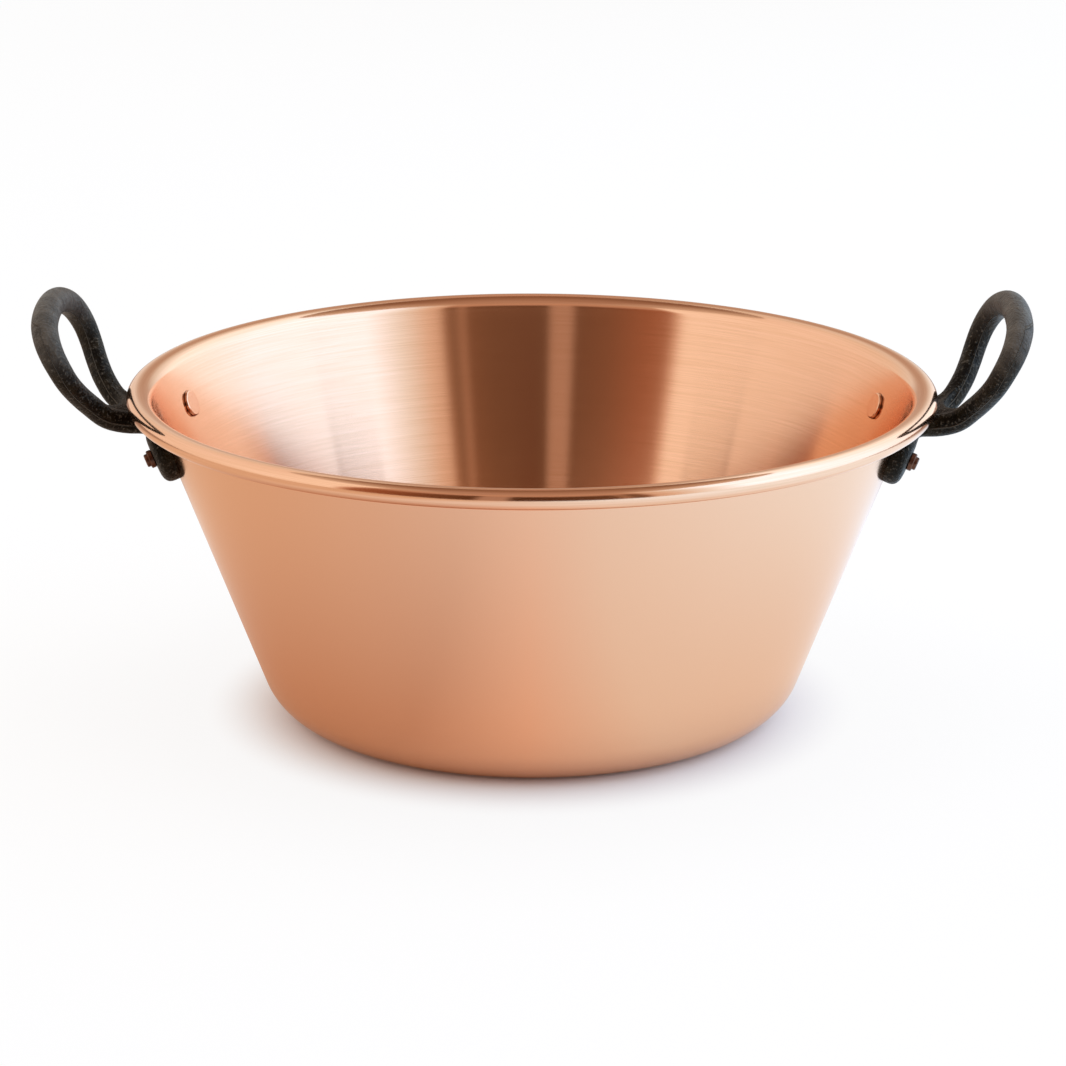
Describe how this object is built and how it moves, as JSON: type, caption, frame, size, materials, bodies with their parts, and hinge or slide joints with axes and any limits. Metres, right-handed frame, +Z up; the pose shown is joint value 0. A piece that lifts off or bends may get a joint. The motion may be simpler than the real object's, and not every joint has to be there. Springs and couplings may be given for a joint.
{
  "type": "jam pan",
  "caption": "Round copper jam pan with sloping walls, a rolled rim and two cast-iron loop handles riveted through the wall.",
  "frame": {"origin": "middle of the flat underside, where the pan rests", "axes": "+Z up out of the open pan, the two handles along X, the front of the picture towards -Y"},
  "size_m": [0.4398, 0.36, 0.1889],
  "materials": {
    "copper_sheet": "polished",
    "cast_iron": "rough cast, blackened",
    "copper_rivet": "satin, darkened"
  },
  "bodies": {
    "root": {"pan_body": "copper_sheet", "handle_left": "cast_iron", "handle_right": "cast_iron", "rivet_left_back": "copper_rivet", "rivet_left_front": "copper_rivet", "rivet_right_back": "copper_rivet", "rivet_right_front": "copper_rivet", "washer_left_back": "copper_rivet", "washer_left_front": "copper_rivet", "washer_right_back": "copper_rivet", "washer_right_front": "copper_rivet"}
  },
  "joints": []
}
